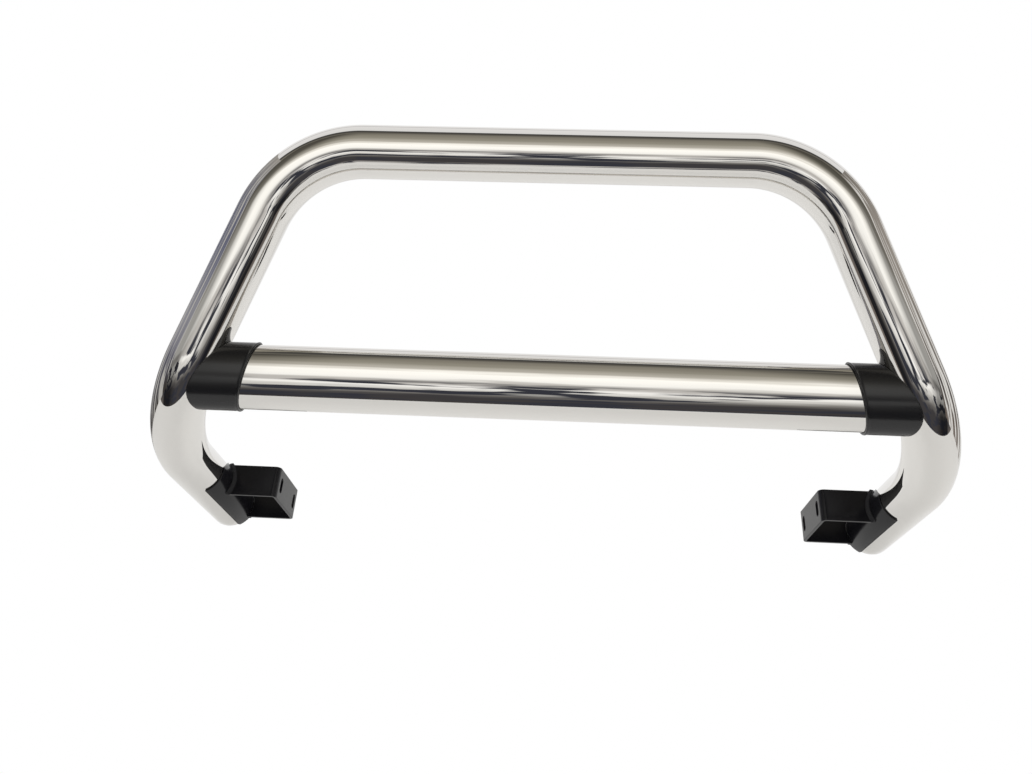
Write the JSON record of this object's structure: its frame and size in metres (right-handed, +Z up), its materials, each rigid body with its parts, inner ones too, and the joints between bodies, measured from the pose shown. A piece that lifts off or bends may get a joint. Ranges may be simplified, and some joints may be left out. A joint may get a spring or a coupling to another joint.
{
  "type": "front grille guard",
  "caption": "Front grille guard for a light truck: a polished bent tube hoop with an oval crossbar in black end collars, on channel brackets that bolt to the frame rails",
  "frame": {"origin": "centre of the whole guard's bounding box", "axes": "+Z up, -Y to the front of the vehicle, +X to the right of someone standing in front and facing it"},
  "size_m": [1.1864, 0.3531, 0.6209],
  "materials": {
    "polished_tube": "mirror-polished stainless steel with faint polishing lines",
    "weld_metal": "bare weld bead, wire brushed",
    "collar_plastic": "moulded plastic, satin black",
    "zinc_screw": "bright zinc plate",
    "black_paint": "semi-gloss black paint",
    "plug_rubber": "plain black rubber"
  },
  "bodies": {
    "root": {"hoop_tube": "polished_tube", "crossbar_tube": "polished_tube", "crossbar_weld_left": "weld_metal", "crossbar_weld_right": "weld_metal", "crossbar_collar_left": "collar_plastic", "crossbar_collar_right": "collar_plastic", "collar_screw_left": "zinc_screw", "collar_screw_right": "zinc_screw", "saddle_plate_left": "black_paint", "saddle_plate_right": "black_paint", "saddle_weld_lower_left": "black_paint", "saddle_weld_lower_right": "black_paint", "saddle_weld_upper_left": "black_paint", "saddle_weld_upper_right": "black_paint", "rail_bracket_left": "black_paint", "rail_bracket_right": "black_paint", "bracket_weld_front_left": "black_paint", "bracket_weld_front_right": "black_paint", "bracket_weld_rear_left": "black_paint", "bracket_weld_rear_right": "black_paint", "foot_plug_left": "plug_rubber", "foot_plug_right": "plug_rubber"}
  },
  "joints": []
}
